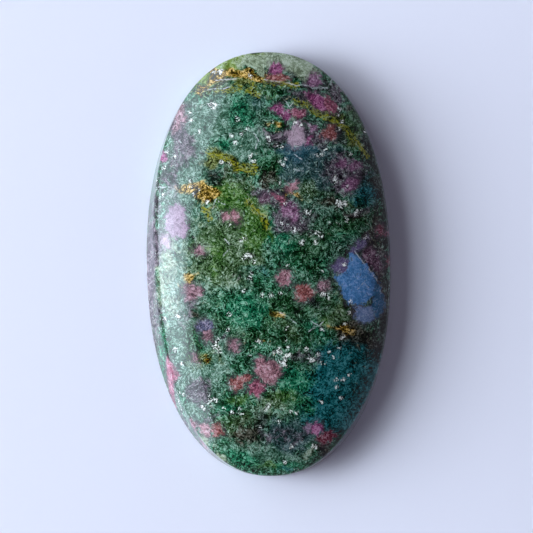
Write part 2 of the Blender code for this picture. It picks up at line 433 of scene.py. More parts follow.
# Parts of the ground with tones of their own: (x, y, half width, half height, turn in degrees,
# strength), in mm. A kind further down covers those above it.
groundZones = {
    "shade": [
        (8.0, 3.0, 4.0, 6.0, 0, 1.0),
        (5.5, 12.5, 2.4, 3.0, 0, 0.7),
        (-1.0, -15.6, 1.8, 1.6, 0, 0.7),
        (8.6, -5.6, 3.0, 2.6, 0, 0.8),
        (4.4, 5.4, 2.6, 2.4, 0, 0.9),
        (-3.4, 9.3, 1.2, 0.9, 0, 0.6),
        (3.4, -19.2, 3.0, 2.0, 0, 0.6),
        (-0.5, -18.0, 2.0, 2.0, 0, 0.6),
    ],
    "milky": [
        (-5.4, 14.2, 3.6, 3.2, 0, 1.6),
        (-0.6, -19.4, 5.0, 2.0, 0, 0.8),
        (-9.6, 9.4, 1.6, 5.0, 0, 0.9),
        (-9.0, -6.0, 1.6, 5.0, 0, 0.8),
        (-2.0, 15.2, 1.8, 1.4, 0, 0.8),
        (-6.6, 1.6, 2.4, 4.6, 0, 0.9),
        (-4.0, 2.8, 2.2, 1.6, 0, 0.7),
        (-7.0, -11.0, 2.4, 3.4, 10, 1.0),
        (-2.8, -1.4, 1.2, 1.1, 0, 1.1),
        (4.3, -6.5, 1.6, 0.7, -25, 0.8),
        (-1.5, 12.6, 1.6, 0.9, 0, 0.7),
        (-4.6, -7.8, 1.6, 1.2, 0, 0.7),
        (1.2, -3.6, 1.0, 0.6, 0, 0.6),
        (4.8, -10.2, 1.4, 0.7, 0, 0.7),
        (-9.0, -15.0, 1.4, 2.4, 25, 1.1),
        (8.8, 11.6, 0.8, 0.8, 0, 0.5),
    ],
    "moss": [
        (-4.6, 2.4, 3.4, 2.6, -20, 1.2),
        (-5.8, -0.6, 2.4, 2.0, 0, 0.9),
        (-3.4, 8.6, 2.2, 1.2, -20, 0.9),
        (-7.0, -9.4, 1.6, 1.2, 0, 0.9),
        (0.8, -14.6, 2.6, 1.2, 0, 0.9),
        (-3.6, -17.0, 2.2, 1.2, 0, 0.8),
        (1.6, -6.6, 2.4, 0.9, -20, 0.8),
        (6.6, -5.6, 2.0, 1.0, -25, 0.9),
        (9.0, 13.0, 1.6, 1.6, -30, 0.8),
        (4.6, 7.6, 2.0, 0.9, 0, 0.7),
        (-1.0, 18.2, 2.0, 0.9, 0, 0.7),
    ],
    "emerald": [
        (2.7, -12.2, 1.3, 1.2, 0, 1.4),
        (-2.2, -4.9, 2.4, 1.3, -8, 1.2),
        (1.4, 2.2, 2.2, 1.0, -35, 1.2),
        (-2.6, 16.6, 1.6, 1.3, 0, 0.7),
        (1.9, -21.2, 1.5, 0.8, 0, 1.1),
        (-2.8, -20.5, 1.5, 0.9, 0, 1.0),
        (4.6, -7.3, 1.6, 0.6, -25, 0.9),
        (-8.3, -13.4, 0.8, 0.8, 0, 1.0),
        (8.2, 2.7, 1.5, 0.9, 0, 0.9),
        (6.0, -0.4, 1.0, 1.2, 0, 0.6),
        (-4.4, -15.4, 1.6, 1.0, 0, 0.8),
        (4.4, -14.8, 2.0, 1.4, 0, 1.1),
        (-1.6, 15.0, 1.6, 1.2, 0, 0.6),
        (0.2, 4.0, 1.2, 1.6, -30, 0.9),
        (5.4, -13.0, 1.2, 1.6, 0, 0.8),
        (-4.6, 12.6, 1.0, 0.7, -20, 0.8),
        (-7.6, -7.8, 0.7, 0.8, 0, 0.7),
        (-11.7, -7.6, 0.6, 1.6, 0, 0.9),
    ],
    "leaf": [
        (-4.8, 7.6, 1.6, 0.9, -35, 1.3),
        (-2.8, 6.1, 2.1, 1.1, -45, 1.5),
        (-1.3, 4.2, 1.1, 1.4, 30, 1.6),
        (9.3, 14.0, 1.0, 1.8, 30, 1.1),
        (1.6, -13.8, 1.6, 0.6, 0, 0.7),
        (-5.6, 0.9, 1.1, 2.6, 0, 0.7),
        (6.2, -6.4, 1.6, 0.5, -30, 1.0),
        (0.2, -21.2, 1.4, 0.6, 0, 0.8),
        (-3.4, -14.2, 1.4, 0.6, 0, 0.7),
        (-2.0, 3.0, 1.2, 0.8, -30, 0.6),
        (-0.6, 17.6, 1.6, 0.5, 0, 0.6),
        (-8.2, -9.0, 1.0, 0.6, 0, 0.6),
    ],
    "olive": [
        (-2.3, 19.1, 2.0, 0.6, 0, 1.0),
        (-6.2, 19.0, 1.6, 0.4, 12, 0.9),
        (-4.5, 10.9, 1.9, 0.5, -14, 1.0),
        (-5.8, 11.5, 0.9, 0.5, 0, 0.8),
        (-2.5, 10.2, 1.5, 0.4, -12, 0.9),
        (-6.2, 6.9, 0.9, 0.5, -30, 0.8),
        (7.6, 15.3, 1.8, 0.4, -38, 1.2),
        (9.9, 12.6, 0.5, 1.2, 25, 1.0),
        (5.0, 17.0, 1.2, 0.4, -40, 1.0),
        (7.0, -4.6, 0.5, 1.3, 0, 0.6),
        (-7.0, -9.6, 1.2, 0.6, -15, 0.8),
        (0.6, -5.4, 1.0, 0.5, 0, 0.8),
        (9.2, 6.3, 1.2, 0.4, 0, 0.7),
    ],
    "lime": [
        (-4.6, 20.9, 3.0, 0.9, 14, 1.4),
        (-1.2, 22.0, 2.0, 0.5, 0, 1.0),
    ],
    "blueTeal": [
        (3.8, 10.8, 1.8, 1.5, 0, 1.8),
        (3.0, 11.9, 1.2, 0.5, 0, 0.7),
        (5.4, 11.9, 1.0, 0.5, -20, 0.6),
    ],
    "slate": [
        (5.6, 9.4, 1.9, 1.4, 0, 1.2),
        (7.2, 11.8, 1.6, 1.0, 0, 1.0),
        (2.0, 9.2, 1.3, 1.1, 0, 0.8),
        (10.8, 8.0, 1.2, 1.6, 0, 0.8),
        (-0.6, 16.6, 1.0, 0.9, 0, 0.6),
        (9.6, 1.8, 1.4, 0.8, 0, 0.6),
        (2.2, -17.8, 2.1, 1.3, 0, 1.3),
    ],
    "forest": [
        (3.2, -4.4, 3.4, 1.8, -10, 1.1),
        (4.6, 1.6, 2.2, 2.0, 0, 0.9),
        (-1.8, -7.4, 2.4, 1.0, 0, 0.9),
        (8.8, 4.0, 2.0, 1.6, 0, 0.8),
        (9.0, 14.4, 1.4, 1.6, 30, 0.8),
        (3.8, -15.6, 2.2, 1.0, 0, 0.6),
        (-5.4, -5.4, 1.8, 1.2, 0, 0.7),
        (-8.6, -7.6, 1.2, 1.6, 0, 0.7),
        (0.6, 10.0, 1.6, 1.2, 0, 0.7),
        (3.6, -9.0, 1.8, 0.8, 0, 0.7),
    ],
    "teal": [
        (7.6, -10.4, 2.4, 1.6, 0, 1.3),
        (7.4, -13.8, 2.6, 2.8, 0, 1.4),
        (9.6, -12.0, 1.5, 3.0, -15, 1.3),
        (5.8, -16.4, 1.9, 1.4, 0, 1.1),
        (10.8, 6.8, 1.0, 1.5, 0, 0.9),
        (1.9, -21.8, 1.3, 0.6, 0, 0.5),
        (-0.4, -0.6, 1.2, 1.0, 0, 0.5),
    ],
    "mauve": [
        (8.3, 9.6, 1.7, 1.6, 0, 1.4),
        (2.8, 4.4, 1.9, 1.2, -20, 1.3),
        (-0.6, 7.1, 1.5, 0.8, -10, 1.0),
        (2.2, -17.8, 1.5, 0.9, 0, 0.6),
        (11.3, 0.0, 0.9, 1.7, 20, 1.2),
        (4.9, 19.4, 1.3, 1.0, 0, 0.9),
        (7.2, 18.0, 0.9, 1.0, -35, 1.0),
        (5.2, 13.2, 1.6, 0.8, 0, 0.9),
        (2.4, 20.9, 1.0, 0.6, 0, 0.8),
        (0.9, 13.0, 1.2, 0.9, 0, 0.9),
        (-8.9, 14.6, 1.1, 2.0, -12, 1.0),
        (-7.5, -13.4, 1.0, 1.3, 20, 1.0),
        (9.2, 5.2, 1.1, 0.4, 10, 0.9),
        (-4.2, 19.2, 1.0, 0.3, 0, 0.6),
        (3.2, 17.6, 1.4, 0.5, -20, 0.8),
        (-5.0, -7.6, 0.8, 0.6, 0, 0.7),
        (-3.2, -1.3, 0.5, 0.4, 0, 0.6),
        (-12.2, 1.0, 0.8, 7.0, 0, 1.0),
        (4.8, -9.9, 0.8, 0.5, 0, 0.7),
        (-0.8, -17.6, 1.0, 0.7, 0, 0.7),
        (2.8, -9.4, 1.2, 0.6, 0, 0.5),
        (-8.6, -3.0, 0.8, 1.4, 0, 0.5),
        (-9.8, 9.8, 1.0, 2.4, -10, 0.9),
        (-7.8, 12.6, 1.0, 0.8, 0, 0.6),
        (-6.4, -16.0, 1.2, 0.6, 0, 0.6),
        (-9.0, -5.6, 0.8, 1.4, 0, 0.6),
    ],
    "brown": [
        (0.2, 8.5, 1.2, 0.9, 0, 0.9),
        (-2.6, -17.8, 1.5, 1.2, -20, 1.0),
        (9.6, -8.3, 1.8, 1.2, 0, 1.1),
        (7.9, -7.4, 1.2, 0.5, -25, 1.1),
        (11.4, 3.0, 0.9, 2.0, 0, 1.2),
        (11.5, -2.0, 0.8, 2.2, 0, 0.9),
        (5.4, -19.8, 1.2, 0.6, 15, 1.1),
        (5.6, -2.5, 1.1, 1.2, 0, 0.7),
        (-7.9, -4.9, 0.6, 0.9, 0, 0.8),
        (-4.0, -8.6, 0.9, 0.8, 0, 0.8),
        (6.5, 6.2, 1.5, 0.6, 0, 0.9),
        (8.9, 5.0, 1.3, 0.5, 0, 0.6),
        (8.5, 16.4, 0.8, 0.5, 0, 0.8),
        (8.6, -5.2, 0.6, 0.9, 0, 1.0),
        (-5.4, 9.3, 1.0, 0.5, 0, 0.7),
        (-1.0, -8.8, 1.0, 0.5, 0, 0.5),
    ],
    "dark": [
        (12.2, 8.4, 0.8, 3.2, 6, 1.4),
        (12.2, -6.4, 0.8, 3.0, -8, 1.4),
        (12.5, 1.0, 0.4, 3.0, 0, 1.0),
        (8.3, 13.4, 0.6, 1.2, 35, 1.0),
        (-6.3, 9.8, 0.8, 0.6, 0, 0.9),
        (11.3, 11.4, 0.8, 1.8, 20, 1.0),
        (-1.0, -16.3, 0.7, 0.9, 0, 0.9),
        (5.8, -20.3, 1.5, 0.5, 25, 1.1),
        (-5.9, 19.0, 1.0, 0.3, 8, 0.9),
        (-3.3, 9.4, 0.9, 0.6, 0, 0.6),
        (8.6, -8.9, 2.0, 0.8, 0, 0.6),
        (7.4, 14.2, 1.2, 0.4, -40, 0.9),
        (4.4, -4.9, 1.6, 0.6, 0, 0.6),
        (2.2, 17.2, 1.6, 0.4, 0, 0.7),
        (9.8, -15.2, 0.6, 1.6, -30, 0.6),
        (6.0, 16.0, 1.2, 0.4, -40, 0.6),
        (-1.2, 0.2, 1.0, 0.6, 0, 0.4),
        (3.6, -4.2, 1.0, 0.8, 0, 0.4),
    ],
    "pale": [
        # The first three, along the top rim, are painted reflection of something bright beyond the far
        # end
        (1.6, 21.7, 3.4, 0.9, 0, 1.2),
        (4.4, 20.6, 1.5, 0.9, -25, 1.2),
        (-1.0, 20.9, 1.4, 0.5, 0, 0.7),
        (-10.6, -1.0, 1.0, 4.0, 0, 0.7),
        (-5.2, -20.7, 0.9, 0.4, -35, 0.8),
        (3.6, -20.0, 0.7, 0.4, 10, 0.6),
        (-7.0, -18.6, 0.9, 0.5, -30, 0.8),
        (2.9, 15.4, 0.8, 0.4, 0, 0.6),
    ],
    "rust": [
        (-4.9, 20.15, 1.3, 0.45, 4, 1.5),
        (-2.4, 19.9, 1.6, 0.3, -6, 1.2),
        (0.7, 19.4, 2.2, 0.25, -8, 1.1),
        (-7.4, 18.9, 0.9, 0.22, 42, 1.1),
        (-1.0, 19.8, 0.9, 0.4, 0, 1.0),
        (-7.1, 8.0, 0.9, 0.8, 0, 1.7),
        (-5.8, 7.7, 0.9, 0.5, 0, 1.1),
        (2.4, 6.9, 1.1, 0.25, -8, 1.0),
        (1.1, 14.4, 0.5, 0.4, 0, 0.9),
        (-6.8, -9.5, 0.6, 0.4, -20, 1.0),
        (0.7, -5.4, 0.7, 0.35, 0, 1.0),
        (-0.4, -8.4, 0.3, 0.2, 0, 0.9),
        (7.6, -7.1, 0.9, 0.22, -28, 1.1),
        (-7.9, -1.4, 0.7, 0.25, 0, 0.9),
        (-8.6, 8.4, 0.6, 0.6, 0, 0.7),
    ],
}
zoneFall = 0.7  # how fast a zone fades past its half width
zoneMost = 1.6  # most that zones of one kind come to where they overlap


def zoneField(x, y, zones):
    total = np.zeros_like(x)
    for zoneX, zoneY, halfWidth, halfHeight, turn, strength in zones:
        cosine, sine = math.cos(math.radians(turn)), math.sin(math.radians(turn))
        along = ((x - zoneX) * cosine + (y - zoneY) * sine) / halfWidth
        across = (-(x - zoneX) * sine + (y - zoneY) * cosine) / halfHeight
        total += strength * np.exp(-(along**2 + across**2) * zoneFall)
    return total.clip(0.0, zoneMost)


# Thin lines across the polish, as points in mm: healed fractures that show light, partly
# painted highlights along the edges of cracks, open cracks that show dark, and the yellow-green veins
healedAndHighlitLines = [
    [(3.6, 18.75), (4.4, 18.72), (5.0, 18.42), (6.6, 18.45), (6.75, 18.8), (7.0, 19.25)],
    [(0.0, 19.35), (1.4, 19.15), (2.6, 18.95), (3.3, 18.7)],
    [(-5.0, 19.45), (-4.2, 19.5), (-3.1, 19.55)],
    [(-6.3, 18.45), (-5.2, 18.55), (-4.4, 18.5), (-3.9, 18.65)],
    [(9.1, 1.1), (10.0, -0.15), (10.9, -1.2), (11.3, -1.8)],
    [(1.2, -5.1), (1.8, -5.5), (2.6, -6.1)],
    [(9.4, -2.65), (9.95, -2.1), (10.3, -2.5)],
    [(4.4, -6.1), (5.2, -6.5), (5.6, -7.0)],
    [(4.2, -7.0), (5.0, -6.6), (5.5, -6.2)],
    [(2.2, 16.9), (2.5, 16.4), (2.8, 16.8)],
    [(-11.3, 8.35), (-10.3, 8.3)],
    [(-1.2, 13.6), (-0.85, 13.0), (-1.1, 12.3)],
    [(-4.4, 2.6), (-4.1, 2.2)],
    [(-4.6, 1.1), (-4.2, 1.5)],
    [(3.0, 9.85), (3.6, 9.7)],
    [(3.1, 11.3), (3.5, 11.0)],
    [(-4.4, -12.2), (-4.25, -12.9)],
    [(-5.0, 6.6), (-4.6, 6.4)],
    [(-5.7, 6.1), (-5.4, 6.8)],
    [(-6.6, 6.9), (-6.2, 6.2)],
]
crackLines = [
    [(3.5, 18.5), (4.4, 18.5), (5.0, 18.2), (5.8, 18.2), (6.7, 18.25)],
    [(9.4, 1.1), (10.3, -0.15), (11.15, -1.2), (11.6, -1.85)],
    [(1.1, -5.4), (1.7, -5.8), (2.4, -6.3)],
    [(7.0, -6.8), (7.6, -7.2), (8.4, -7.7)],
    [(-11.5, 3.9), (-11.0, 3.7), (-10.4, 3.4), (-10.15, 2.7), (-10.2, 1.9)],
    [(-11.6, 2.9), (-11.4, 2.1), (-10.9, 1.75)],
    [(-8.0, -6.7), (-7.8, -6.4), (-7.5, -6.2)],
    [(5.0, -19.1), (5.7, -19.15), (6.4, -18.9)],
    [(8.2, 14.0), (8.7, 13.3), (9.0, 12.7)],
    [(4.1, 15.0), (4.9, 14.9), (5.6, 14.9), (6.4, 14.95)],
    [(-5.0, 10.9), (-4.0, 10.6), (-3.4, 10.3)],
    [(-1.8, -7.75), (-1.3, -7.7), (-0.9, -7.8)],
    [(-10.8, -9.5), (-10.5, -9.9), (-10.3, -10.2)],
    [(3.0, -13.8), (3.7, -13.5), (4.4, -13.7)],
    [(-4.9, 19.2), (-4.0, 19.2), (-3.3, 19.3)],
    [(7.1, -4.6), (7.4, -5.4)],
]
veinLines = [
    [(3.1, 17.0), (4.1, 16.7), (4.8, 16.2), (5.4, 15.6), (6.1, 15.25), (6.9, 15.1), (7.5, 14.6)],
    [(7.5, 14.6), (8.3, 14.2), (8.9, 13.3), (9.7, 12.3), (10.6, 11.2)],
    [(-4.9, 11.2), (-3.8, 10.9), (-2.9, 10.3), (-1.9, 10.2), (-1.2, 10.3)],
    [(-3.2, 10.0), (-2.2, 10.0), (-1.2, 9.7)],
    [(-6.0, 11.6), (-5.2, 11.4), (-4.5, 11.4)],
    [(0.0, 19.2), (1.4, 19.0), (2.6, 18.8), (3.4, 18.75)],
    [(-5.0, 18.35), (-4.0, 18.3), (-2.6, 18.6)],
    [(-1.9, 18.4), (-1.2, 18.0), (-0.7, 17.8)],
    [(-1.4, 18.9), (-1.3, 18.0)],
    [(-2.0, 6.6), (-1.3, 5.6), (-0.4, 4.8), (-0.1, 3.8)],
    [(-6.7, 5.9), (-6.2, 5.5), (-6.0, 4.9)],
]


def lineFields(x, y, lines):
    # Distance to the nearest line, and the same with a side, which stays exact at the line
    distance = np.full(x.shape, farAway)
    sided = np.full(x.shape, farAway)
    for line in lines:
        for (x0, y0), (x1, y1) in zip(line, line[1:]):
            edgeX, edgeY = x1 - x0, y1 - y0
            size = math.hypot(edgeX, edgeY)
            along = (((x - x0) * edgeX + (y - y0) * edgeY) / size**2).clip(0.0, 1.0)
            found = np.hypot(x - x0 - along * edgeX, y - y0 - along * edgeY)
            side = (edgeX * (y - y0) - edgeY * (x - x0)) / size
            closer = found < distance
            distance[closer] = found[closer]
            sided[closer] = side[closer]
    return distance, sided


# Bright flecks, painted highlights where mica lies open or a pit's edge catches the window, with painted
# pit shade beside them: (x, y, radius), in mm
flecks = [
    (-5.75, 16.9, 0.28), (-5.55, 16.6, 0.2), (-5.3, 16.85, 0.12), (-5.35, 20.3, 0.1),
    (-4.65, 20.35, 0.14), (-1.5, 19.85, 0.13), (-7.85, 15.35, 0.12), (-8.0, 16.1, 0.1),
    (-7.0, 14.1, 0.12), (-3.0, 15.3, 0.16), (-2.0, 14.2, 0.16), (-2.6, 13.7, 0.14),
    (-3.6, 13.5, 0.14), (-3.2, 12.8, 0.16), (-10.5, 12.1, 0.12), (-9.6, 11.5, 0.14),
    (-1.6, 11.3, 0.2), (-1.4, 10.8, 0.16), (-4.75, 10.8, 0.15), (-3.9, 10.6, 0.12),
    (-10.8, 10.3, 0.12), (-11.7, 9.0, 0.1), (-10.9, 7.5, 0.1), (-8.0, 8.9, 0.1), (-8.0, 8.2, 0.12),
    (-7.7, 7.5, 0.12), (-7.1, 7.9, 0.08), (-6.3, 6.6, 0.12), (-7.9, 2.9, 0.09), (-4.0, 4.15, 0.13),
    (-2.35, 0.85, 0.2), (-1.9, 0.95, 0.24), (-2.6, 0.6, 0.12), (-1.45, 0.35, 0.12),
    (-2.4, 2.8, 0.14), (-2.8, 2.6, 0.1), (-1.8, -0.9, 0.12), (-2.0, -1.4, 0.12), (0.6, 14.9, 0.14),
    (0.2, 13.3, 0.18), (0.4, 12.9, 0.12), (1.2, 12.4, 0.12), (1.7, 12.2, 0.12), (3.1, 14.75, 0.12),
    (3.6, 14.5, 0.12), (1.6, 15.4, 0.12), (7.75, 16.15, 0.12), (8.0, 14.8, 0.14),
    (7.6, 13.95, 0.13), (10.4, 13.8, 0.13), (7.7, 15.6, 0.1), (2.0, 10.95, 0.13), (1.7, 10.4, 0.15),
    (1.4, 10.7, 0.1), (5.8, 11.4, 0.14), (5.3, 11.3, 0.12), (6.2, 11.9, 0.1), (8.8, 11.4, 0.1),
    (7.1, 8.6, 0.13), (7.2, 9.1, 0.1), (1.4, 8.4, 0.13), (1.8, 6.3, 0.1), (8.4, 7.9, 0.1),
    (4.2, 5.35, 0.2), (4.0, 5.45, 0.12), (7.4, 6.4, 0.22), (7.65, 6.15, 0.26), (7.85, 5.95, 0.16),
    (8.15, 6.3, 0.13), (8.0, 6.15, 0.12), (2.5, 3.6, 0.14), (2.75, 3.5, 0.16), (1.4, 4.3, 0.12),
    (3.45, 2.15, 0.2), (3.6, 2.3, 0.12), (5.6, 2.8, 0.2), (5.4, 2.95, 0.12), (5.1, 3.2, 0.13),
    (4.9, 2.2, 0.12), (7.4, 4.1, 0.1), (6.3, 4.1, 0.1), (8.3, 4.5, 0.12), (9.2, 5.1, 0.16),
    (9.5, 5.4, 0.12), (10.3, 2.6, 0.16), (7.9, -0.2, 0.12), (5.5, -0.9, 0.14), (1.9, -0.1, 0.12),
    (5.55, -3.25, 0.14), (5.95, -3.3, 0.16), (6.2, -3.6, 0.1), (0.2, -3.2, 0.16), (1.2, -3.0, 0.12),
    (8.5, -3.95, 0.15), (8.3, -5.2, 0.12), (7.8, -6.35, 0.14), (7.6, -7.8, 0.13), (1.6, -7.9, 0.12),
    (1.8, -6.7, 0.12), (5.4, -6.8, 0.12), (0.9, -8.9, 0.2), (0.5, -9.25, 0.22), (1.0, -9.2, 0.15),
    (1.85, -8.8, 0.12), (1.7, -9.6, 0.18), (1.45, -9.95, 0.16), (1.3, -10.4, 0.2),
    (1.6, -10.6, 0.14), (0.9, -10.2, 0.1), (2.0, -9.5, 0.12), (3.8, -8.9, 0.14), (4.3, -10.1, 0.2),
    (4.0, -10.0, 0.12), (5.0, -9.5, 0.14), (5.2, -10.4, 0.12), (5.6, -10.5, 0.15),
    (6.2, -9.35, 0.12), (7.2, -8.8, 0.12), (6.6, -9.8, 0.1), (-5.5, -7.8, 0.13), (-5.7, -8.3, 0.16),
    (-5.5, -8.6, 0.14), (-5.3, -8.95, 0.14), (-5.9, -8.6, 0.1), (-4.2, -5.2, 0.16),
    (-4.3, -6.8, 0.12), (-2.7, -2.7, 0.13), (-0.7, -3.2, 0.12), (-1.3, -8.05, 0.16),
    (-1.0, -8.1, 0.14), (-2.2, -9.4, 0.12), (-9.4, -10.3, 0.16), (-10.0, -8.8, 0.14),
    (-11.0, -5.6, 0.12), (-9.6, -5.3, 0.14), (-7.3, -14.75, 0.13), (-7.0, -15.05, 0.09),
    (-6.1, -14.05, 0.17), (-5.8, -14.15, 0.17), (-6.6, -13.7, 0.12), (-6.6, -14.3, 0.1),
    (-5.0, -15.1, 0.12), (-4.2, -15.4, 0.14), (-3.5, -15.45, 0.12), (-3.1, -15.7, 0.12),
    (-3.3, -15.1, 0.1), (-9.7, -13.4, 0.14), (-9.3, -13.6, 0.12), (-10.0, -14.3, 0.12),
    (-9.6, -15.2, 0.18), (-10.2, -13.1, 0.12), (-1.2, -16.95, 0.1), (-0.3, -14.8, 0.13),
    (-0.6, -15.2, 0.1), (5.3, -14.5, 0.18), (2.0, -15.5, 0.1), (2.6, -15.6, 0.12),
    (0.8, -16.5, 0.12), (2.0, -19.2, 0.16), (4.2, -19.2, 0.12), (4.6, -19.3, 0.12),
    (1.3, -20.8, 0.12), (2.5, -21.7, 0.1), (7.0, -13.0, 0.12), (7.3, -14.2, 0.14),
    (6.8, -12.2, 0.14), (7.6, -12.3, 0.14), (8.2, -11.7, 0.12),
]


def nearestFleck(x, y):
    # How far outside the nearest fleck a point is, in mm
    distance = np.full(x.shape, farAway)
    for fleckX, fleckY, radius in flecks:
        distance = np.minimum(distance, np.hypot(x - fleckX, y - fleckY) - radius)
    return distance


def addField(mesh, name, values):
    mesh.attributes.new(name, "FLOAT", "POINT").data.foreach_set("value", values.astype(np.float32))


def markStone(mesh):
    # Writes where everything lies to the mesh, for the material to read
    points = np.zeros(len(mesh.vertices) * 3, np.float32)
    mesh.vertices.foreach_get("co", points)
    x, y, z = (points.reshape(-1, 3) / mm).T.astype(float)
    onBack = z < stone["backBevel"]
    # The mica's layers dip, so below the rim everything lies further over
    below = np.where(onBack, 0.0, np.maximum(0.0, wallHeight - z))
    x = x + stone["dip"][0] * below
    y = y + stone["dip"][1] * below
    crystalEdge, tone, calm = crystalFields(*strayed(x, y, crystalStray), z)
    addField(mesh, "calmCrystal", calm)
    addField(mesh, "crystalEdge", crystalEdge)
    colours = mesh.attributes.new("crystalTone", "FLOAT_COLOR", "POINT")
    colours.data.foreach_set("color", tone.astype(np.float32).ravel())

    # The back isn't seen in the photo, so it takes the same kinds of ground in other places
    zoneX, zoneY = strayed(np.where(onBack, -x, x), np.where(onBack, -y, y), zoneStray)
    for name, zones in groundZones.items():
        addField(mesh, name, zoneField(zoneX, zoneY, zones))
    for name, lines in (("healedAndHighlit", healedAndHighlitLines), ("crack", crackLines), ("vein", veinLines)):
        distance, sided = lineFields(x, y, lines)
        addField(mesh, name + "Near", np.where(onBack, farAway, distance))
        addField(mesh, name + "Side", sided)
    addField(mesh, "fleck", np.where(onBack, farAway, nearestFleck(x, y)))
    leftGrey, rightGrey = stone["wallGrey"]
    wall = (below / stone["wallFade"]).clip(0.0, 1.0) * np.where(x > 0, rightGrey, leftGrey)
    addField(mesh, "wall", wall)
    return crystalEdge


def wearStone(mesh, crystalEdge):
    # Hand polish leaves long shallow waves, and the matrix a little lower than the crystals
    count = len(mesh.vertices)
    points = np.zeros(count * 3, np.float32)
    normals = np.zeros(count * 3, np.float32)
    mesh.vertices.foreach_get("co", points)
    mesh.vertex_normals.foreach_get("vector", normals)
    points, normals = points.reshape(-1, 3), normals.reshape(-1, 3)
    scale = 1.0 / (stone["waveLength"] * mm)
    waves = np.array([noise.noise(Vector(p) * scale) for p in points.tolist()])
    depth = stone["polishWaves"] * (0.5 + 0.5 * waves)
    step = (crystalEdge / stone["undercutReach"]).clip(-1.0, 1.0)
    depth += stone["undercut"] * step / 2.0 + stone["undercut"] / 2.0
    depth *= (points[:, 2] > stone["backBevel"] * mm).astype(float)
    points -= normals * (depth * mm)[:, None]
    mesh.vertices.foreach_set("co", points.astype(np.float32).ravel())
    mesh.update()
